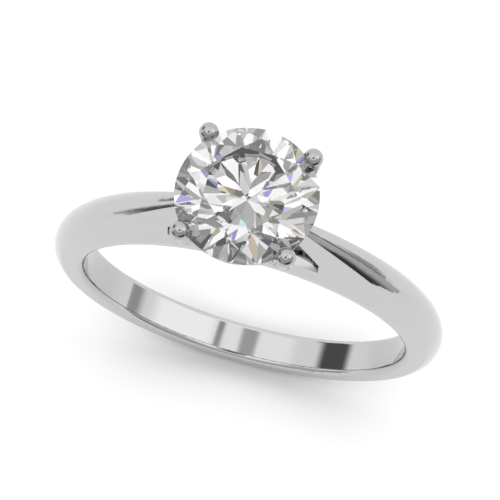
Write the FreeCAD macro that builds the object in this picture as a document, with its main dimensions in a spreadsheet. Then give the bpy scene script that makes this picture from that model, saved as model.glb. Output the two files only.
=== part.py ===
import FreeCAD, Part
import math
import os

import Sketcher

# A solitaire engagement ring: a D-section shank, two cathedral shoulders, a
# four-prong head and a round brilliant. Millimetres. The origin is the centre
# of the finger bore, +Y runs along the finger and +Z points to the stone.

doc = FreeCAD.newDocument("engagement_ring")

# ---------------------------------------------------------------- sizes

SIZES = [
    ("bore_radius", 8.45),
    ("bore_overrun", 0.3),
    ("band_half", 1.0),
    ("edge_round", 0.28),
    ("flank_radius", 9.0),
    ("palm_half", 0.98),
    ("palm_edge", 9.5),
    ("palm_crown", 0.65),
    ("head_angle", 9.5),
    ("head_half", 0.22),
    ("head_crown", 0.08),
    ("arch_rise", 3.65),
    ("fade_angle", 30.0),
    ("fade_span", 90.0),
    ("crown_power", 0.6),
    ("seat_radius", 10.05),
    ("seat_bow", 0.5),
    ("shoulder_angle", 50.0),
    ("window_outer_x", 3.65),
    ("window_outer_z", 9.85),
    ("window_inner_x", 1.5),
    ("window_peak_x", 1.9),
    ("window_peak_z", 12.5),
    ("window_floor_z", 8.8),
    ("base_foot_radius", 0.75),
    ("base_waist_radius", 0.85),
    ("base_rim_radius", 1.62),
    ("base_hole_radius", 0.42),
    ("base_bottom_z", 9.5),
    ("base_waist_z", 10.3),
    ("base_rim_z", 10.72),
    ("base_top_z", 10.9),
    ("rail_radius", 2.05),
    ("rail_wire_radius", 0.32),
    ("rail_z", 12.85),
    ("prong_wire_radius", 0.45),
    ("prong_foot_r", 1.1),
    ("prong_knee_r", 3.28),
    ("prong_knee_z", 14.15),
    ("prong_tip_r", 3.42),
    ("prong_tip_z", 15.05),
    ("prong_tip_radius", 0.46),
    ("stone_radius", 3.25),
    ("girdle_z", 14.83),
    ("girdle_height", 0.2),
    ("table_radius", 1.95),
    ("crown_angle", 34.5),
    ("pavilion_angle", 41.2),
    ("star_length", 0.5),
    ("lower_half_length", 0.77),
    ("stone_turn", 22.5),
]

sheet = doc.addObject("Spreadsheet::Sheet", "Sizes")
for row, (name, value) in enumerate(SIZES, start=1):
    sheet.set("A%d" % row, name)
    sheet.set("B%d" % row, str(value))
    sheet.setAlias("B%d" % row, name)
doc.recompute()

S = {name: float(sheet.get(name)) for name, value in SIZES}

# Lengths that only have to clear the metal or the stone they cut.

WEDGE_RADIUS = 16
WEDGE_HALF_WIDTH = 3
WINDOW_DEPTH = 4
FACET_REACH = 4.5
FACET_RUN_IN = 0.6
FACET_CLEAR_Z = 6.0
FACET_WIDTH = 12

# ---------------------------------------------------------------- helpers


def new_body(label):
    """An empty body with its own label."""
    body = doc.addObject("PartDesign::Body", label)
    body.Label = label
    return body


def origin_item(body, role):
    """The body's own origin plane or axis with this role."""
    for item in body.Origin.OriginFeatures:
        if item.Role == role:
            return item
    raise ValueError(role)


def new_sketch(body, name, role):
    """A sketch on one of the body's own origin planes."""
    sketch = body.newObject("Sketcher::SketchObject", name)
    sketch.AttachmentSupport = [(origin_item(body, role), "")]
    sketch.MapMode = "FlatFace"
    return sketch


def pin_point(sketch, geo, pos, x_text, y_text, name):
    """Fix one vertex at (x, y) from the sketch origin, each bound to an expression."""
    where = sketch.getPoint(geo, pos)
    for axis, kind, text, value in (("x", "DistanceX", x_text, where.x),
                                    ("y", "DistanceY", y_text, where.y)):
        if text is None:
            continue
        number = sketch.addConstraint(Sketcher.Constraint(kind, -1, 1, geo, pos, value))
        label = "%s_%s" % (name, axis)
        sketch.renameConstraint(number, label)
        sketch.setExpression("Constraints." + label, text)


def closed_polygon(sketch, corners):
    """Straight edges through (x, y, x_text, y_text) corners, every corner pinned."""
    count = len(corners)
    for i in range(count):
        start = FreeCAD.Vector(corners[i][0], corners[i][1], 0)
        after = corners[(i + 1) % count]
        sketch.addGeometry(Part.LineSegment(start, FreeCAD.Vector(after[0], after[1], 0)), False)
    for i in range(count):
        sketch.addConstraint(Sketcher.Constraint("Coincident", i, 2, (i + 1) % count, 1))
    for i, corner in enumerate(corners):
        pin_point(sketch, i, 1, corner[2], corner[3], "corner%d" % i)


def corner(x_text, y_text):
    """A polygon corner whose place is worked out from the sizes it is bound to."""
    return (measure(x_text), measure(y_text), x_text, y_text)


def measure(text):
    """The number an expression on the sheet gives now."""
    value = sheet.evalExpression(text)
    return float(getattr(value, "Value", value))


def in_sheet(text):
    """An expression from outside the sheet, as the sheet itself writes it."""
    return text.replace("Sizes.", "")


def as_bound(text):
    """An alias, with its sign, as an expression outside the sheet."""
    if text.startswith("-"):
        return "-Sizes." + text[1:]
    return "Sizes." + text


def bow_radius(sketch, geo, half, rise):
    """Bind an arc's radius to the half chord and the rise of its bow."""
    across = measure(in_sheet(half))
    up = measure(in_sheet(rise))
    number = sketch.addConstraint(Sketcher.Constraint("Radius", geo, (across ** 2 + up ** 2) / (2 * up)))
    sketch.renameConstraint(number, "bow")
    sketch.setExpression("Constraints.bow", "(pow(%s; 2) + pow(%s; 2)) / (2 * %s)" % (half, rise, rise))


def boolean(kind, name, base, tool):
    """A Part::Cut, Part::Common or Part::Fuse of two objects."""
    result = doc.addObject("Part::" + kind, name)
    result.Base = base
    result.Tool = tool
    result.Label = name
    return result


# ---------------------------------------------------------------- ring blank

# The blank is one closed loft of cross-sections around the finger: a plain D
# at the palm that climbs and pinches into the cathedral ridge at the head.

ANGLES = [0, 5, 9.5, 14, 18, 22.5, 27, 33, 39, 45, 52, 60, 70, 80, 92, 105, 120, 135, 150, 165]
ANGLES = ANGLES + [180] + [360 - a for a in reversed(ANGLES[1:])]


def fade(angle):
    """1 at the head, falling to 0 beside the finger, as text for an expression."""
    turn = min(angle, 360 - angle)
    beyond = max(turn - S["head_angle"], 0.0)
    if beyond >= S["fade_span"]:
        return "0"
    if beyond == 0.0:
        return "1"
    tail = "exp(-Sizes.fade_span / Sizes.fade_angle)"
    reach = "exp(-(%g - Sizes.head_angle) / Sizes.fade_angle)" % turn
    return "((%s - %s) / (1 - %s))" % (reach, tail, tail)




def section_sketch(body, angle):
    """One cross-section, on a plane turned about the finger axis."""
    sketch = new_sketch(body, "section_%03d" % round(angle), "YZ_Plane")
    turned = FreeCAD.Rotation(FreeCAD.Vector(1, 0, 0), angle)
    sketch.AttachmentOffset = FreeCAD.Placement(FreeCAD.Vector(), turned)
    faded = fade(angle)
    half = "Sizes.palm_half - (Sizes.palm_half - Sizes.head_half) * %s" % faded
    edge = "Sizes.palm_edge + Sizes.arch_rise * %s" % faded
    drop = "pow(%s; Sizes.crown_power)" % faded
    crown = "(Sizes.palm_crown - (Sizes.palm_crown - Sizes.head_crown) * %s)" % drop
    edge_half = measure(in_sheet(half))
    edge_radius = measure(in_sheet(edge))
    rise = measure(in_sheet(crown))
    band = S["band_half"]
    root = S["bore_radius"] - S["bore_overrun"]
    flank = S["flank_radius"]
    points = [(-band, root), (band, root), (band, flank),
              (edge_half, edge_radius), (-edge_half, edge_radius), (-band, flank)]
    vectors = [FreeCAD.Vector(x, y, 0) for x, y in points]
    for here, there in ((0, 1), (1, 2), (2, 3)):
        sketch.addGeometry(Part.LineSegment(vectors[here], vectors[there]), False)
    top = Part.Arc(vectors[3], FreeCAD.Vector(0, edge_radius + rise, 0), vectors[4])
    sketch.addGeometry(top, False)
    for here, there in ((4, 5), (5, 0)):
        sketch.addGeometry(Part.LineSegment(vectors[here], vectors[there]), False)
    for i in range(len(points)):
        sketch.addConstraint(Sketcher.Constraint("Coincident", i, 2, (i + 1) % len(points), 1))
    pin_point(sketch, 0, 2, "Sizes.band_half", "Sizes.bore_radius - Sizes.bore_overrun", "low")
    pin_point(sketch, 1, 2, "Sizes.band_half", "Sizes.flank_radius", "flank")
    pin_point(sketch, 2, 2, half, edge, "edge")
    sketch.addConstraint(Sketcher.Constraint("Symmetric", 0, 2, 0, 1, -2))
    sketch.addConstraint(Sketcher.Constraint("Symmetric", 1, 2, 4, 2, -2))
    sketch.addConstraint(Sketcher.Constraint("Symmetric", 2, 2, 4, 1, -2))
    bow_radius(sketch, 3, half, crown)
    return sketch


print("sections", len(ANGLES))
blank = new_body("ring_blank")
sections = [section_sketch(blank, a) for a in ANGLES]
doc.recompute()
loft = blank.newObject("PartDesign::AdditiveLoft", "ring_loft")
loft.Profile = sections[0]
loft.Sections = sections[1:]
loft.Closed = True
loft.Ruled = False
doc.recompute()
print("loft", loft.State, loft.Shape.isValid(), loft.Shape.Volume, len(loft.Shape.Faces))

# The finger hole, with its two edges rounded for comfort, is turned out of it.

bore = new_sketch(blank, "bore_profile", "XY_Plane")
wall = S["bore_radius"]
face = S["band_half"]
rounding = S["edge_round"]
flare = wall + rounding
outside = face + S["bore_overrun"]
bulge = rounding * (1 - math.sqrt(0.5))
outline = [(0, -outside), (flare, -outside), (flare, -face), (wall, -face + rounding),
           (wall, face - rounding), (flare, face), (flare, outside), (0, outside)]
spots = [FreeCAD.Vector(x, y, 0) for x, y in outline]
bore.addGeometry(Part.LineSegment(spots[0], spots[1]), False)
bore.addGeometry(Part.LineSegment(spots[1], spots[2]), False)
bore.addGeometry(Part.Arc(spots[2], FreeCAD.Vector(wall + bulge, -face + bulge, 0), spots[3]), False)
bore.addGeometry(Part.LineSegment(spots[3], spots[4]), False)
bore.addGeometry(Part.Arc(spots[4], FreeCAD.Vector(wall + bulge, face - bulge, 0), spots[5]), False)
bore.addGeometry(Part.LineSegment(spots[5], spots[6]), False)
bore.addGeometry(Part.LineSegment(spots[6], spots[7]), False)
bore.addGeometry(Part.LineSegment(spots[7], spots[0]), False)


def end_at(geo, spot):
    """Which end of this edge, 1 or 2, lies at the spot (an arc may be stored backwards)."""
    gaps = [bore.getPoint(geo, end).distanceToPoint(spot) for end in (1, 2)]
    return 1 if gaps[0] < gaps[1] else 2


for i, spot in enumerate(spots):
    before = (i - 1) % len(spots)
    bore.addConstraint(Sketcher.Constraint("Coincident", before, end_at(before, spot),
                                           i, end_at(i, spot)))
wide = "Sizes.bore_radius + Sizes.edge_round"
over = "Sizes.band_half + Sizes.bore_overrun"
pin_point(bore, 0, 1, None, "-(%s)" % over, "foot")
bore.addConstraint(Sketcher.Constraint("PointOnObject", 0, 1, -2))
pin_point(bore, 0, 2, wide, "-(%s)" % over, "flare_low")
pin_point(bore, 1, 2, wide, "-Sizes.band_half", "face_low")
pin_point(bore, 3, 1, "Sizes.bore_radius", "-(Sizes.band_half - Sizes.edge_round)", "wall_low")
pin_point(bore, 3, 2, "Sizes.bore_radius", "Sizes.band_half - Sizes.edge_round", "wall_high")
pin_point(bore, 5, 1, wide, "Sizes.band_half", "face_high")
pin_point(bore, 5, 2, wide, over, "flare_high")
pin_point(bore, 6, 2, None, over, "head")
bore.addConstraint(Sketcher.Constraint("PointOnObject", 6, 2, -2))
for geo in (2, 4):
    number = bore.addConstraint(Sketcher.Constraint("Radius", geo, rounding))
    bore.renameConstraint(number, "round%d" % geo)
    bore.setExpression("Constraints.round%d" % geo, "Sizes.edge_round")
doc.recompute()
solid_blank_volume = blank.Shape.Volume
groove = blank.newObject("PartDesign::Groove", "finger_bore")
groove.Profile = bore
groove.ReferenceAxis = (origin_item(blank, "Y_Axis"), [""])
groove.Angle = 360
doc.recompute()
print("bore took", solid_blank_volume - blank.Shape.Volume, "mm3")

# ---------------------------------------------------------------- shank and shoulders

# The bridge is what a barrel about the finger leaves of the blank, a little
# lower at its two edges; a seat is the wedge outside it that a shoulder fills.

barrel = new_body("bridge_barrel")
barrel_sketch = new_sketch(barrel, "barrel_profile", "XY_Plane")
barrel_half = S["band_half"] + S["bore_overrun"]
barrel_edge = S["seat_radius"] - S["seat_bow"]
corner_low = FreeCAD.Vector(barrel_edge, -barrel_half, 0)
corner_high = FreeCAD.Vector(barrel_edge, barrel_half, 0)
axis_low = FreeCAD.Vector(0, -barrel_half, 0)
axis_high = FreeCAD.Vector(0, barrel_half, 0)
barrel_sketch.addGeometry(Part.LineSegment(axis_high, axis_low), False)
barrel_sketch.addGeometry(Part.LineSegment(axis_low, corner_low), False)
barrel_sketch.addGeometry(Part.Arc(corner_low, FreeCAD.Vector(S["seat_radius"], 0, 0), corner_high), False)
barrel_sketch.addGeometry(Part.LineSegment(corner_high, axis_high), False)
for geo in range(4):
    barrel_sketch.addConstraint(Sketcher.Constraint("Coincident", geo, 2, (geo + 1) % 4, 1))
barrel_rim = "Sizes.seat_radius - Sizes.seat_bow"
pin_point(barrel_sketch, 0, 1, "0 mm", over, "axis_high")
pin_point(barrel_sketch, 0, 2, "0 mm", "-(%s)" % over, "axis_low")
pin_point(barrel_sketch, 1, 2, barrel_rim, "-(%s)" % over, "rim_low")
pin_point(barrel_sketch, 3, 1, barrel_rim, over, "rim_high")
bow_radius(barrel_sketch, 2, over, "Sizes.seat_bow")
barrel_turn = barrel.newObject("PartDesign::Revolution", "barrel_turned")
barrel_turn.Profile = barrel_sketch
barrel_turn.ReferenceAxis = (origin_item(barrel, "Y_Axis"), [""])
barrel_turn.Angle = 360


def seat_wedge(name, start, sweep):
    """The sector outside the bridge, from this angle off +Z and on towards the head."""
    disc = doc.addObject("Part::Cylinder", name + "_disc")
    disc.Radius = WEDGE_RADIUS
    disc.Height = 2 * WEDGE_HALF_WIDTH
    disc.setExpression("Angle", sweep)
    along = FreeCAD.Rotation(FreeCAD.Vector(1, 0, 0), 90)
    turned = FreeCAD.Rotation(FreeCAD.Vector(0, 1, 0), start - 90)
    disc.Placement = FreeCAD.Placement(FreeCAD.Vector(0, WEDGE_HALF_WIDTH, 0), turned.multiply(along))
    return boolean("Cut", name, disc, barrel)


def window_body(name, side):
    """The cathedral opening between the shoulder and the bridge, cut right through."""
    body = new_body(name)
    sketch = new_sketch(body, name + "_profile", "XZ_Plane")
    sign = "-" if side < 0 else ""
    corners = [corner(sign + "window_inner_x", "window_floor_z"),
               corner(sign + "window_outer_x", "window_floor_z"),
               corner(sign + "window_outer_x", "window_outer_z"),
               corner(sign + "window_peak_x", "window_peak_z"),
               corner(sign + "window_inner_x", "window_peak_z")]
    bound = [(x, z, as_bound(tx), as_bound(tz)) for x, z, tx, tz in corners]
    closed_polygon(sketch, bound)
    pad = body.newObject("PartDesign::Pad", name + "_pad")
    pad.Profile = sketch
    pad.Length = WINDOW_DEPTH
    pad.SideType = "Symmetric"
    return body


# The rail is made first, because the shoulders and prongs are notched to it.

rail_body = new_body("gallery_rail")
rail_sketch = new_sketch(rail_body, "rail_wire", "XZ_Plane")
rail_sketch.addGeometry(Part.Circle(FreeCAD.Vector(S["rail_radius"], S["rail_z"], 0),
                                    FreeCAD.Vector(0, 0, 1), S["rail_wire_radius"]), False)
pin_point(rail_sketch, 0, 3, "Sizes.rail_radius", "Sizes.rail_z", "centre")
wire = rail_sketch.addConstraint(Sketcher.Constraint("Radius", 0, S["rail_wire_radius"]))
rail_sketch.renameConstraint(wire, "wire")
rail_sketch.setExpression("Constraints.wire", "Sizes.rail_wire_radius")
rail_turn = rail_body.newObject("PartDesign::Revolution", "rail_ring")
rail_turn.Profile = rail_sketch
rail_turn.ReferenceAxis = (origin_item(rail_body, "Z_Axis"), [""])
rail_turn.Angle = 360

seat = seat_wedge("shoulder_seat", S["shoulder_angle"], "2 * Sizes.shoulder_angle")
shank = boolean("Cut", "shank", blank, seat)

shoulders = []
for name, side in (("left_shoulder", -1), ("right_shoulder", 1)):
    start = S["shoulder_angle"] if side > 0 else -S["head_angle"]
    wedge = seat_wedge(name + "_wedge", start, "Sizes.shoulder_angle - Sizes.head_angle")
    raw = boolean("Common", name + "_raw", blank, wedge)
    window = window_body(name + "_window", side)
    opened = boolean("Cut", name + "_open", raw, window)
    shoulders.append(boolean("Cut", name, opened, rail_body))

# ---------------------------------------------------------------- diamond

# A round brilliant, cut as a cutter would grind it: a round blank, then each
# facet as a flat pocket repeated around the stone by a polar pattern.

stone = new_body("diamond_cut")
girdle_sketch = new_sketch(stone, "girdle_round", "XY_Plane")
girdle_sketch.addGeometry(Part.Circle(FreeCAD.Vector(), FreeCAD.Vector(0, 0, 1), S["stone_radius"]), False)
girdle_sketch.addConstraint(Sketcher.Constraint("Coincident", 0, 3, -1, 1))
number = girdle_sketch.addConstraint(Sketcher.Constraint("Radius", 0, S["stone_radius"]))
girdle_sketch.renameConstraint(number, "girdle")
girdle_sketch.setExpression("Constraints.girdle", "Sizes.stone_radius")

MAIN_STEP = 45.0
TAN_CROWN = math.tan(math.radians(S["crown_angle"]))
TAN_PAVILION = math.tan(math.radians(S["pavilion_angle"]))
COS_EIGHTH = math.cos(math.radians(MAIN_STEP / 2))
COS_SIXTEENTH = math.cos(math.radians(MAIN_STEP / 4))
stone_r = S["stone_radius"]
table_r = S["table_radius"]

top_z = S["girdle_height"] / 2
crown_height = (stone_r - table_r) * TAN_CROWN
pavilion_depth = stone_r * TAN_PAVILION
stone_height = crown_height + S["girdle_height"] + pavilion_depth
print("stone height", stone_height)

blank_pad = stone.newObject("PartDesign::Pad", "stone_blank")
blank_pad.Profile = girdle_sketch
blank_pad.setExpression("Length", "(Sizes.stone_radius - Sizes.table_radius) * tan(Sizes.crown_angle * 1 deg)"
                        " + Sizes.girdle_height + Sizes.stone_radius * tan(Sizes.pavilion_angle * 1 deg)")
girdle_sketch.AttachmentOffset = FreeCAD.Placement(FreeCAD.Vector(0, 0, -top_z - pavilion_depth),
                                                   FreeCAD.Rotation())
doc.recompute()


def facet(name, turn, near, far):
    """One facet through two (r, z) points at this azimuth, repeated eight times round."""
    before = stone.Shape.Volume
    sketch = new_sketch(stone, name + "_line", "XZ_Plane")
    turned = FreeCAD.Rotation(FreeCAD.Vector(0, 1, 0), -turn)
    sketch.AttachmentOffset = FreeCAD.Placement(FreeCAD.Vector(), turned)
    slope = (far[1] - near[1]) / (far[0] - near[0])
    start = (near[0] - FACET_RUN_IN, near[1] - FACET_RUN_IN * slope)
    if near[0] < 2 * FACET_RUN_IN:
        start = near
    end = (FACET_REACH, near[1] + (FACET_REACH - near[0]) * slope)
    clear = math.copysign(FACET_CLEAR_Z, near[1])
    corners = [(x, z, "%.6f" % x, "%.6f" % z)
               for x, z in (start, end, (FACET_REACH, clear), (start[0], clear))]
    closed_polygon(sketch, corners)
    doc.recompute()
    pocket = stone.newObject("PartDesign::Pocket", name + "_cut")
    pocket.Profile = sketch
    pocket.Length = FACET_WIDTH
    pocket.SideType = "Symmetric"
    doc.recompute()
    one = stone.Shape.Volume
    pattern = stone.newObject("PartDesign::PolarPattern", name + "_all")
    pattern.Originals = [pocket]
    pattern.Axis = (origin_item(stone, "Z_Axis"), [""])
    pattern.Angle = 360
    pattern.Occurrences = 8
    stone.Tip = pattern
    doc.recompute()
    print(name, "one took", round(before - one, 4), "all took", round(before - stone.Shape.Volume, 4))


table_z = top_z + crown_height
star_in = table_r * COS_EIGHTH
star_out = star_in + S["star_length"] * (stone_r - star_in)
star_z = top_z + (stone_r - star_out * COS_EIGHTH) * TAN_CROWN
half_in = stone_r * (1 - S["lower_half_length"])
half_z = -top_z - (stone_r - half_in * COS_EIGHTH) * TAN_PAVILION
half_near = (half_in * COS_SIXTEENTH, half_z)
half_far = (stone_r * COS_SIXTEENTH, -top_z)
upper_near = (star_out * COS_SIXTEENTH, star_z)
upper_far = (stone_r * COS_SIXTEENTH, top_z)

facet("pavilion_main", 0, (0.0, -top_z - pavilion_depth), (stone_r, -top_z))
facet("lower_half_a", MAIN_STEP / 4, half_near, half_far)
facet("lower_half_b", -MAIN_STEP / 4, half_near, half_far)
facet("crown_main", 0, (table_r, table_z), (stone_r, top_z))
facet("star", MAIN_STEP / 2, (star_in, table_z), (star_out, star_z))
facet("upper_half_a", MAIN_STEP / 4, upper_near, upper_far)
facet("upper_half_b", -MAIN_STEP / 4, upper_near, upper_far)
stone.Placement = FreeCAD.Placement(FreeCAD.Vector(0, 0, S["girdle_z"]),
                                    FreeCAD.Rotation(FreeCAD.Vector(0, 0, 1), S["stone_turn"]))
stone.setExpression("Placement.Base.z", "Sizes.girdle_z")
stone.setExpression("Placement.Rotation.Angle", "Sizes.stone_turn")
doc.recompute()
print("stone faces", len(stone.Shape.Faces), "box", stone.Shape.BoundBox)

# ---------------------------------------------------------------- prongs

# Each prong is a wire piped up from the head base to the girdle, finished with
# a round claw, then notched to the rail and to the stone that it holds.


def prong_body(name, azimuth):
    """One prong wire and claw, made in the XZ plane and turned to its corner."""
    body = new_body(name)
    path = new_sketch(body, name + "_path", "XZ_Plane")
    foot = FreeCAD.Vector(S["prong_foot_r"], S["base_top_z"], 0)
    knee = FreeCAD.Vector(S["prong_knee_r"], S["prong_knee_z"], 0)
    tip = FreeCAD.Vector(S["prong_tip_r"], S["prong_tip_z"], 0)
    path.addGeometry(Part.LineSegment(foot, knee), False)
    path.addGeometry(Part.LineSegment(knee, tip), False)
    path.addConstraint(Sketcher.Constraint("Coincident", 0, 2, 1, 1))
    pin_point(path, 0, 1, "Sizes.prong_foot_r", "Sizes.base_top_z", "foot")
    pin_point(path, 0, 2, "Sizes.prong_knee_r", "Sizes.prong_knee_z", "knee")
    pin_point(path, 1, 2, "Sizes.prong_tip_r", "Sizes.prong_tip_z", "tip")
    round_wire = new_sketch(body, name + "_wire", "XY_Plane")
    round_wire.setExpression("AttachmentOffset.Base.z", "Sizes.base_top_z")
    round_wire.addGeometry(Part.Circle(FreeCAD.Vector(S["prong_foot_r"], 0, 0),
                                       FreeCAD.Vector(0, 0, 1), S["prong_wire_radius"]), False)
    round_wire.addConstraint(Sketcher.Constraint("PointOnObject", 0, 3, -1))
    pin_point(round_wire, 0, 3, "Sizes.prong_foot_r", None, "centre")
    number = round_wire.addConstraint(Sketcher.Constraint("Radius", 0, S["prong_wire_radius"]))
    round_wire.renameConstraint(number, "wire")
    round_wire.setExpression("Constraints.wire", "Sizes.prong_wire_radius")
    doc.recompute()
    pipe = body.newObject("PartDesign::AdditivePipe", name + "_pipe")
    pipe.Profile = round_wire
    pipe.Spine = (path, ["Edge1", "Edge2"])
    pipe.Mode = "Fixed"
    pipe.Transition = "Round corner"
    doc.recompute()
    claw = body.newObject("PartDesign::AdditiveSphere", name + "_claw")
    claw.setExpression("Radius", "Sizes.prong_tip_radius")
    claw.AttachmentSupport = [(origin_item(body, "XY_Plane"), "")]
    claw.MapMode = "FlatFace"
    claw.setExpression("AttachmentOffset.Base.x", "Sizes.prong_tip_r")
    claw.setExpression("AttachmentOffset.Base.z", "Sizes.prong_tip_z")
    doc.recompute()
    body.Placement = FreeCAD.Placement(FreeCAD.Vector(),
                                       FreeCAD.Rotation(FreeCAD.Vector(0, 0, 1), azimuth))
    return body


CORNERS = [("front_left_prong", 225), ("front_right_prong", 315),
           ("back_left_prong", 135), ("back_right_prong", 45)]
prongs = []
for name, azimuth in CORNERS:
    wire_body = prong_body(name + "_blank", azimuth)
    railed = boolean("Cut", name + "_railed", wire_body, rail_body)
    prongs.append(boolean("Cut", name, railed, stone))

# ---------------------------------------------------------------- head base

# A small flared cup, turned on the lathe and filed to sit on the bridge.

cup = new_body("head_base_turned")
cup_sketch = new_sketch(cup, "cup_profile", "XZ_Plane")
cup_corners = [("base_hole_radius", "base_bottom_z"), ("base_foot_radius", "base_bottom_z"),
               ("base_waist_radius", "base_waist_z"), ("base_rim_radius", "base_rim_z"),
               ("base_rim_radius", "base_top_z"), ("base_hole_radius", "base_top_z")]
closed_polygon(cup_sketch, [(S[x], S[z], as_bound(x), as_bound(z)) for x, z in cup_corners])
cup_turn = cup.newObject("PartDesign::Revolution", "cup_turned")
cup_turn.Profile = cup_sketch
cup_turn.ReferenceAxis = (origin_item(cup, "Z_Axis"), [""])
cup_turn.Angle = 360
head_base = boolean("Cut", "head_base", cup, shank)

# ---------------------------------------------------------------- check and write

doc.recompute()

pieces = [shank] + shoulders + [head_base, rail_body] + prongs + [stone]
stone.Label = "diamond"

for item in doc.Objects:
    if "Invalid" in item.State or "Error" in item.State:
        raise RuntimeError("%s: %s" % (item.Label, item.State))

for piece in pieces:
    shape = piece.Shape
    if shape.isNull() or not shape.isValid():
        raise RuntimeError("bad shape: " + piece.Label)
    if len(shape.Solids) != 1:
        raise RuntimeError("%s has %d solids" % (piece.Label, len(shape.Solids)))
    box = shape.BoundBox
    print("%-18s %8.3f mm3  x %.2f..%.2f  y %.2f..%.2f  z %.2f..%.2f" % (
        piece.Label, shape.Volume, box.XMin, box.XMax, box.YMin, box.YMax, box.ZMin, box.ZMax))

for i, one in enumerate(pieces):
    for other in pieces[i + 1:]:
        shared = one.Shape.common(other.Shape).Volume
        gap = one.Shape.distToShape(other.Shape)[0]
        if shared > 1e-6 or gap < 0.01:
            print("  %s / %s: shared %.6f mm3, gap %.4f mm" % (one.Label, other.Label, shared, gap))

os.makedirs("parts", exist_ok=True)
for piece in pieces:
    piece.Shape.exportStep("parts/%s.step" % piece.Label)
print("wrote", len(pieces), "parts")
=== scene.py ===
# %% [markdown]
# # A solitaire engagement ring
#
# The metal and the stone are already here as exact solids, so this lesson is about
# what makes them look real: how mirror-polished white gold and a cut diamond take
# their whole appearance from what stands around them.

# %% Load the frame
import math

import bmesh
import bpy
from mathutils import Matrix, Vector


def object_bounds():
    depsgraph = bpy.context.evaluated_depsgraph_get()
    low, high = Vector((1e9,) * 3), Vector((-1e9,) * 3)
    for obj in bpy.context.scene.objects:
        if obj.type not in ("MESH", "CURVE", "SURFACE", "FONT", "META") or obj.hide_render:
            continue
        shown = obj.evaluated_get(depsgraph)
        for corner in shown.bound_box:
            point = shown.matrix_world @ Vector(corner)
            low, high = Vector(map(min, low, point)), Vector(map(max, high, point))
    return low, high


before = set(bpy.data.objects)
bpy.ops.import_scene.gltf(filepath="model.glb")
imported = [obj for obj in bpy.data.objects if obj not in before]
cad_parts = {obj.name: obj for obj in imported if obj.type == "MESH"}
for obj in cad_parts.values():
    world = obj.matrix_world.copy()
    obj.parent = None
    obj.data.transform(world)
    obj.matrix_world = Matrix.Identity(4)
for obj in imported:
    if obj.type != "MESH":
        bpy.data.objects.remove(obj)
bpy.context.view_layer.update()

print("nodes:", sorted(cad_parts))

MM = 0.001

# %% [markdown]
# ## Helpers
#
# Colours are written as the hex values that a picker shows, which are sRGB. Shaders
# work in linear light, so one function converts them. Another adds a shader node
# with its settings and links in a single call, which keeps each material short.

# %% Colour and node helpers


def linear(hex_colour):
    """An sRGB hex colour as linear RGBA."""
    channels = [int(hex_colour[i:i + 2], 16) / 255 for i in (1, 3, 5)]
    curve = [c / 12.92 if c <= 0.04045 else ((c + 0.055) / 1.055) ** 2.4 for c in channels]
    return (*curve, 1.0)


def add_node(tree, kind, settings=None, **links):
    """A node of this kind, with attribute or socket settings, and its inputs linked or set."""
    node = tree.nodes.new(kind)
    for name, value in (settings or {}).items():
        if hasattr(node, name):
            setattr(node, name, value)
        else:
            node.inputs[name].default_value = value
    for name, value in links.items():
        by_number = name[0] == "i" and name[1:].isdigit()
        socket = node.inputs[int(name[1:])] if by_number else node.inputs[name]
        if hasattr(value, "is_linked"):
            tree.links.new(value, socket)
        else:
            socket.default_value = value
    return node


# %% [markdown]
# ## Camera
#
# The ring stands on its palm side and is looked at steeply from above, a little
# from its right. A long lens from 110 mm away keeps the circle of the band free of
# the swelling that a close, wide lens gives.

# %% Camera
VIEW_AZIMUTH = math.radians(15.17)
VIEW_ELEVATION = math.radians(71.365)
VIEW_DISTANCE = 110.0 * MM
AIM_RIGHT = 0.137 * MM
AIM_UP = 2.328 * MM
SENSOR = 36.0
LENS = 155.1

towards_camera = Vector((math.sin(VIEW_AZIMUTH) * math.cos(VIEW_ELEVATION),
                         -math.cos(VIEW_AZIMUTH) * math.cos(VIEW_ELEVATION),
                         math.sin(VIEW_ELEVATION)))
camera_right = Vector((math.cos(VIEW_AZIMUTH), math.sin(VIEW_AZIMUTH), 0))
camera_up = towards_camera.cross(camera_right)
camera_data = bpy.data.cameras.new("camera")
camera_data.lens = LENS
camera_data.sensor_width = SENSOR
camera_data.clip_start = 1 * MM
camera = bpy.data.objects.new("camera", camera_data)
bpy.context.scene.collection.objects.link(camera)
place = Matrix((camera_right, camera_up, towards_camera)).transposed().to_4x4()
place.translation = AIM_RIGHT * camera_right + AIM_UP * camera_up + VIEW_DISTANCE * towards_camera
camera.matrix_world = place
bpy.context.scene.camera = camera
print("camera at, mm:", [round(c * 1000, 1) for c in camera.location])

# %% [markdown]
# ## Floor
#
# A plain white sheet of paper, which the tent lights evenly, so that the band's
# shadow is soft and lies close under it. A polished ring also shows the table in its
# lower faces, so the table ends not far from the ring. The rest of the sheet is hidden
# from mirrors and from the stone, which is a convenience and not how paper behaves.

# %% Floor
TABLE_RADIUS = 75 * MM
SHEET_RADIUS = 400 * MM

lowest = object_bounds()[0].z
paper = bpy.data.materials.new("white seamless paper")
paper.use_nodes = True
sheet_shader = paper.node_tree.nodes["Principled BSDF"]
sheet_shader.inputs["Base Color"].default_value = linear("#FAFAFA")
sheet_shader.inputs["Roughness"].default_value = 0.9
sheet_shader.inputs["Specular IOR Level"].default_value = 0.0


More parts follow.
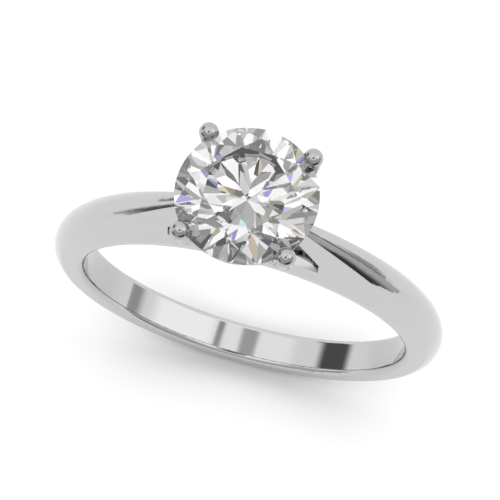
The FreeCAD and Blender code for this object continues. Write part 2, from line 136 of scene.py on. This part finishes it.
def paper_disc(name, radius, hole=0.0):
    """A flat disc of paper at the ring's lowest point, with a round hole if one is given."""
    mesh = bpy.data.meshes.new(name)
    bm = bmesh.new()
    rim = bmesh.ops.create_circle(bm, radius=radius, segments=96, cap_ends=hole == 0.0)["verts"]
    if hole:
        inner = bmesh.ops.create_circle(bm, radius=hole, segments=96)["verts"]
        edges = [edge for edge in bm.edges if edge.verts[0] in rim or edge.verts[0] in inner]
        bmesh.ops.bridge_loops(bm, edges=edges)
    bmesh.ops.translate(bm, verts=bm.verts, vec=(0, 0, lowest))
    bmesh.ops.recalc_face_normals(bm, faces=bm.faces)
    bm.to_mesh(mesh)
    bm.free()
    mesh.materials.append(paper)
    disc = bpy.data.objects.new(name, mesh)
    bpy.context.scene.collection.objects.link(disc)
    return disc


paper_disc("table", TABLE_RADIUS)
sheet = paper_disc("sheet", SHEET_RADIUS, TABLE_RADIUS)
sheet.visible_glossy = False
sheet.visible_transmission = False

# %% [markdown]
# ## Studio
#
# Polished metal has no colour of its own to show: it shows the room. The room is a
# light tent, drawn on the world by direction: azimuth 0 is the ring's right, 90 its
# back and -90 its front, where the photographer stands. The ceiling and the back
# are bright and the front is dim. Black flags low down draw the dark lines that
# tell the eye where the metal turns.

# %% Tent tools
world = bpy.data.worlds.new("light tent")
bpy.context.scene.world = world
world.use_nodes = True
tent = world.node_tree
tent.nodes.clear()
where = add_node(tent, "ShaderNodeTexCoord").outputs["Generated"]
direction = add_node(tent, "ShaderNodeSeparateXYZ", Vector=where)
azimuth = add_node(tent, "ShaderNodeMath", {"operation": "ARCTAN2"},
                   i0=direction.outputs["Y"], i1=direction.outputs["X"]).outputs["Value"]
elevation = add_node(tent, "ShaderNodeMath", {"operation": "ARCSINE"},
                     i0=direction.outputs["Z"]).outputs["Value"]


def smooth_step(source, start, end):
    """0 before start and 1 after end, with a smooth rise between, or a fall if end is before start."""
    low, high = min(start, end), max(start, end)
    step = add_node(tent, "ShaderNodeMapRange",
                    {"interpolation_type": "SMOOTHSTEP", "From Min": low, "From Max": high,
                     "To Min": float(end < start), "To Max": float(end > start)}, Value=source)
    return step.outputs["Result"]


def product(first, second):
    return add_node(tent, "ShaderNodeMath", {"operation": "MULTIPLY"}, i0=first, i1=second).outputs["Value"]


def blend(wall, level, mask):
    """The wall's brightness, turned to this level where the mask is 1."""
    return add_node(tent, "ShaderNodeMix", {"data_type": "FLOAT"}, i0=mask, i2=wall, i3=level).outputs[0]


def card_mask(across, height, fade_across, fade_height):
    """1 on a card between two azimuths and two elevations, in degrees, fading to 0 past its edges."""
    left, right, low, high = [math.radians(angle) for angle in (*across, *height)]
    fade_a, fade_h = math.radians(fade_across), math.radians(fade_height)
    sides = product(smooth_step(azimuth, left - fade_a, left), smooth_step(azimuth, right + fade_a, right))
    ends = product(smooth_step(elevation, low - fade_h, low), smooth_step(elevation, high + fade_h, high))
    return product(sides, ends)


def spot_mask(centre, radius, fade):
    """1 within this angle, in degrees, of a direction, fading to 0 past it."""
    nearness = add_node(tent, "ShaderNodeVectorMath", {"operation": "DOT_PRODUCT"}, i0=where, i1=centre)
    outer, inner = math.cos(math.radians(radius + fade)), math.cos(math.radians(radius))
    return smooth_step(nearness.outputs["Value"], outer, inner)


# %% [markdown]
# ## Tent walls
#
# Each card is a patch of the tent with its own brightness. A card is named for where
# it hangs. The last two patches are round: the dark hole for the lens, and a grey
# disc overhead where the flat top of the stone would mirror the ceiling and veil
# everything under it. The levels were set by comparing renders, not measured.

# %% Tent walls
BACK_LEVEL = 1.20
FRONT_LEVEL = 0.66
FRONT_ACROSS, FRONT_HEIGHT, FRONT_FADE = (-157, -6), (-40, 90), 10
CEILING_LEVEL = 1.42
CEILING_START, CEILING_FULL = math.radians(44), math.radians(54)
LENS_LEVEL, LENS_RADIUS, LENS_FADE = 0.10, 9, 4
VEIL_LEVEL, VEIL_RADIUS, VEIL_FADE = 0.60, 4, 4

# Name, brightness, azimuths, elevations, and how far its sides and its ends fade.
CARDS = [("bright card, high on the right", 1.62, (-4, 34), (28, 58), 8, 14),
         ("thin grey strip, near the top", 0.45, (30, 62), (66.5, 68), 8, 2),
         ("black flag, low at the front right", 0.06, (-72, -39), (-17, 3), 24, 8),
         ("dark flag, low at the front left", 0.15, (-150, -128), (-7, 4), 12, 8),
         ("narrow grey flag, low on the right", 0.30, (2, 8), (-2, 18), 6, 8),
         ("grey flag beside it", 0.50, (8, 20), (0, 4), 6, 9),
         ("dark flag, low on the left", 0.12, (150, 176), (9, 25), 6, 8)]

above_table = (-towards_camera.x, -towards_camera.y, towards_camera.z)
front = card_mask(FRONT_ACROSS, FRONT_HEIGHT, FRONT_FADE, FRONT_FADE)
wall = blend(BACK_LEVEL, FRONT_LEVEL, front)
wall = blend(wall, CEILING_LEVEL, smooth_step(elevation, CEILING_START, CEILING_FULL))
for name, level, across, height, fade_across, fade_height in CARDS:
    wall = blend(wall, level, card_mask(across, height, fade_across, fade_height))
    print(name, level)
seen_in_stone = wall
wall = blend(wall, LENS_LEVEL, spot_mask(tuple(towards_camera), LENS_RADIUS, LENS_FADE))
wall = blend(wall, VEIL_LEVEL, spot_mask(above_table, VEIL_RADIUS, VEIL_FADE))

# %% [markdown]
# ## Stone sparkle
#
# A cut stone is lively because its facets show it many small light and dark things at
# once. An even tent has none of them, and a real stone would look flat in it too. So
# the stone alone is given a tent of random cells, some black, most pale, and a few
# tinted. This is a cheat: real coloured fire comes from dispersion, which this
# material doesn't have, and the metal never sees these cells. Smaller cells give
# smaller, busier flashes.

# %% Stone sparkle
CELLS_ACROSS = 11.0
STONE_GAIN = 1.08

cells = add_node(tent, "ShaderNodeTexVoronoi", {"Scale": CELLS_ACROSS}, Vector=where)
random = add_node(tent, "ShaderNodeSeparateColor", Color=cells.outputs["Color"])


def steps(source, stops, kind="LINEAR"):
    """A colour ramp from (place, hex colour) stops."""
    node = add_node(tent, "ShaderNodeValToRGB", Fac=source)
    node.color_ramp.interpolation = kind
    elements = node.color_ramp.elements
    while len(elements) < len(stops):
        elements.new(0.5)
    for element, (place, hex_colour) in zip(elements, stops):
        element.position = place
        element.color = linear(hex_colour)
    return node.outputs["Color"]


sparkle = steps(random.outputs["Red"], [(0.0, "#000000"), (0.13, "#303030"), (0.28, "#A4A4A4"),
                                        (0.6, "#D8D8D8"), (0.95, "#F0F0F0")])
fire = steps(random.outputs["Green"], [(0.0, "#F4E6BC"), (0.03, "#FFFFFF"), (0.935, "#A49EEC"),
                                       (0.955, "#F0DCC4"), (0.985, "#C4E4EE")], "CONSTANT")

# %% [markdown]
# ## World output
#
# The walls light the scene, and a ray that has passed through the stone sees the
# cells instead. A camera that happens to look past the table should see a plain pale
# background, so its own rays get an even white.

# %% World output
rays = add_node(tent, "ShaderNodeLightPath")
cell_light = add_node(tent, "ShaderNodeMix", {"data_type": "RGBA", "blend_type": "MULTIPLY"},
                      i0=1.0, i6=sparkle, i7=fire).outputs[2]
stone_wall = add_node(tent, "ShaderNodeMath", {"operation": "MULTIPLY"},
                      i0=seen_in_stone, i1=STONE_GAIN).outputs["Value"]
cell_light = add_node(tent, "ShaderNodeVectorMath", {"operation": "SCALE"},
                      i0=cell_light, Scale=stone_wall).outputs["Vector"]
shown = add_node(tent, "ShaderNodeMix", {"data_type": "VECTOR"},
                 i0=rays.outputs["Is Transmission Ray"], i4=wall, i5=cell_light).outputs[1]
glow = add_node(tent, "ShaderNodeBackground", Color=shown)
plain = add_node(tent, "ShaderNodeBackground")
plain.inputs["Color"].default_value = linear("#FFFFFF")
both = add_node(tent, "ShaderNodeMixShader", i0=rays.outputs["Is Camera Ray"],
                i1=glow.outputs["Background"], i2=plain.outputs["Background"])
add_node(tent, "ShaderNodeOutputWorld", Surface=both.outputs["Shader"])

# %% [markdown]
# A white background needs more light on the paper than the metal should show, so one
# wide lamp hangs over the ring and is hidden from mirrors and from the stone. The
# band would also throw bright curls of light into its own shadow. Turning reflected
# caustics off keeps the shadow as soft as matt paper under a wide ceiling shows it.

# %% Paper lamp
LAMP_SIZE = 300 * MM
LAMP_POWER = 0.075
LAMP_PLACE = Vector((10, 20, 150)) * MM

lamp_data = bpy.data.lights.new("paper lamp", "AREA")
lamp_data.shape = "DISK"
lamp_data.size = LAMP_SIZE
lamp_data.energy = LAMP_POWER
lamp = bpy.data.objects.new("paper lamp", lamp_data)
bpy.context.scene.collection.objects.link(lamp)
lamp.location = LAMP_PLACE
lamp.visible_glossy = False
lamp.visible_transmission = False

bpy.context.scene.cycles.caustics_reflective = False
view = bpy.context.scene.view_settings
view.view_transform = "Standard"
view.look = "None"

# %% [markdown]
# ## White gold
#
# The band is 14 carat white gold, plated with rhodium and mirror polished, which
# gives the brightest, most neutral of the white metals. The head that holds the
# stone is cast on its own and gets the same mirror in a greyer colour. That grey is
# painted shade, standing in for the shade the stone throws on the claws, and it makes
# the claws stand out against the band and the stone.
#
# A hand-polished mirror is not a perfect one. The buffing wheel leaves it a little
# hazier in some places than in others, follows the surface in very shallow waves,
# and puts hairlines into it that only show where a reflection ends. Three noise
# textures do this: one sets the roughness, the other two feed a weak bump. Object
# coordinates are in metres, so a scale is one over the size of the detail.

# %% Polish tools
HAZE_SIZE = 1.6 * MM
HAIRLINE_SIZE = 0.05 * MM
WAVE_SIZE = 2.4 * MM
WAVE_HEIGHT = 0.0015 * MM
HAIRLINE_HEIGHT = 0.00006 * MM
HAZE_DETAIL = 4.0
LINE_DETAIL = 2.0
NOISE_LOW, NOISE_HIGH = 0.3, 0.7


def noise(tree, place, size, detail=LINE_DETAIL):
    """Noise with features about this many metres across, 0 to 1."""
    return add_node(tree, "ShaderNodeTexNoise", {"Scale": 1 / size, "Detail": detail},
                    Vector=place).outputs["Fac"]


def spread(tree, source, low, high):
    """The middle of a noise, where nearly all of its values lie, stretched to low and high."""
    stretch = add_node(tree, "ShaderNodeMapRange", {"From Min": NOISE_LOW, "From Max": NOISE_HIGH,
                                                    "To Min": low, "To Max": high}, Value=source)
    return stretch.outputs["Result"]


def bumped(tree, height, distance, normal=None):
    """A bump this many metres high, on top of another bump if one is given."""
    links = {"Height": height}
    if normal:
        links["Normal"] = normal
    return add_node(tree, "ShaderNodeBump", {"Strength": 1.0, "Distance": distance},
                    **links).outputs["Normal"]


# %% [markdown]
# ## Polished gold on the pieces
#
# The hairlines run round the finger on the band, because that is how it is held to
# the wheel. Squeezing the noise along the finger draws it out into lines the other
# way. The small head pieces are tumbled instead, so their marks have no direction.

# %% White gold
HEAD_PIECES = ["head_base", "gallery_rail", "front_left_prong", "front_right_prong",
               "back_left_prong", "back_right_prong"]
BAND_PIECES = ["shank", "left_shoulder", "right_shoulder"]


def polished_metal(name, hex_colour, clear, hazy, squeeze):
    """A mirror-polished metal between two roughnesses, with hairlines squeezed along the finger."""
    material = bpy.data.materials.new(name)
    material.use_nodes = True
    tree = material.node_tree
    shader = tree.nodes["Principled BSDF"]
    shader.inputs["Base Color"].default_value = linear(hex_colour)
    shader.inputs["Metallic"].default_value = 1.0
    place = add_node(tree, "ShaderNodeTexCoord").outputs["Object"]
    drawn = add_node(tree, "ShaderNodeVectorMath", {"operation": "MULTIPLY"},
                     i0=place, i1=squeeze).outputs["Vector"]
    haze = spread(tree, noise(tree, place, HAZE_SIZE, HAZE_DETAIL), clear, hazy)
    tree.links.new(haze, shader.inputs["Roughness"])
    waves = bumped(tree, noise(tree, place, WAVE_SIZE, 0.0), WAVE_HEIGHT)
    lines = bumped(tree, noise(tree, drawn, HAIRLINE_SIZE), HAIRLINE_HEIGHT, waves)
    tree.links.new(lines, shader.inputs["Normal"])
    print(name, "roughness", clear, "to", hazy)
    return material


def dress(names, material):
    """Puts one material on every named piece, in place of what it has."""
    for name in names:
        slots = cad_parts[name].data.materials
        slots.clear()
        slots.append(material)


BAND_COLOUR, BAND_CLEAR, BAND_HAZY = "#BCBCBD", 0.045, 0.085
# The head's greyer colour is painted shade: the band's metal darkened for the shade under the stone.
HEAD_SHADED_COLOUR, HEAD_CLEAR, HEAD_HAZY = "#ADACAB", 0.05, 0.10
ROUND_THE_FINGER = (0.08, 1.0, 0.08)
NO_DIRECTION = (1.0, 1.0, 1.0)

band_gold = polished_metal("rhodium plated white gold, mirror polished", BAND_COLOUR,
                           BAND_CLEAR, BAND_HAZY, ROUND_THE_FINGER)
# The head's material is the same polished metal with a darker colour, painted in as shade from the stone.
shaded_head_gold = polished_metal("white gold, polished, darkened for painted shade", HEAD_SHADED_COLOUR,
                           HEAD_CLEAR, HEAD_HAZY, NO_DIRECTION)
dress(BAND_PIECES, band_gold)
dress(HEAD_PIECES, shaded_head_gold)

# %% [markdown]
# ## Diamond
#
# A diamond bends light far more than glass, with an IOR of 2.417, so its back
# facets act as mirrors and throw the room back up through the table. The facets are
# polished flat on a wheel and stay perfectly clear. The girdle, the narrow edge that
# the claws hold, is only ground round against another diamond, so it stays frosted.
# It is the one face of the stone that looks straight out sideways, so its normal
# tells it from the facets. A fine noise breaks the frosting up into grains.

# %% Diamond
DIAMOND_IOR = 2.417
GIRDLE_GRAIN = 0.08 * MM
GIRDLE_TILT = 0.1
FROST_LOW, FROST_HIGH = 0.25, 0.45

brilliant = bpy.data.materials.new("brilliant cut diamond")
brilliant.use_nodes = True
gem_tree = brilliant.node_tree
gem = gem_tree.nodes["Principled BSDF"]
gem.inputs["Base Color"].default_value = linear("#FFFFFF")
gem.inputs["Transmission Weight"].default_value = 1.0
gem.inputs["IOR"].default_value = DIAMOND_IOR
gem_place = add_node(gem_tree, "ShaderNodeTexCoord")
gem_normal = add_node(gem_tree, "ShaderNodeSeparateXYZ", Vector=gem_place.outputs["Normal"])
gem_tilt = add_node(gem_tree, "ShaderNodeMath", {"operation": "ABSOLUTE"},
                    i0=gem_normal.outputs["Z"]).outputs["Value"]
on_girdle = add_node(gem_tree, "ShaderNodeMath", {"operation": "LESS_THAN"},
                     i0=gem_tilt, i1=GIRDLE_TILT).outputs["Value"]
grain_noise = noise(gem_tree, gem_place.outputs["Object"], GIRDLE_GRAIN)
grains = spread(gem_tree, grain_noise, FROST_LOW, FROST_HIGH)
frosting = add_node(gem_tree, "ShaderNodeMath", {"operation": "MULTIPLY"},
                    i0=on_girdle, i1=grains).outputs["Value"]
gem_tree.links.new(frosting, gem.inputs["Roughness"])
dress(["diamond"], brilliant)
print("diamond IOR", DIAMOND_IOR)
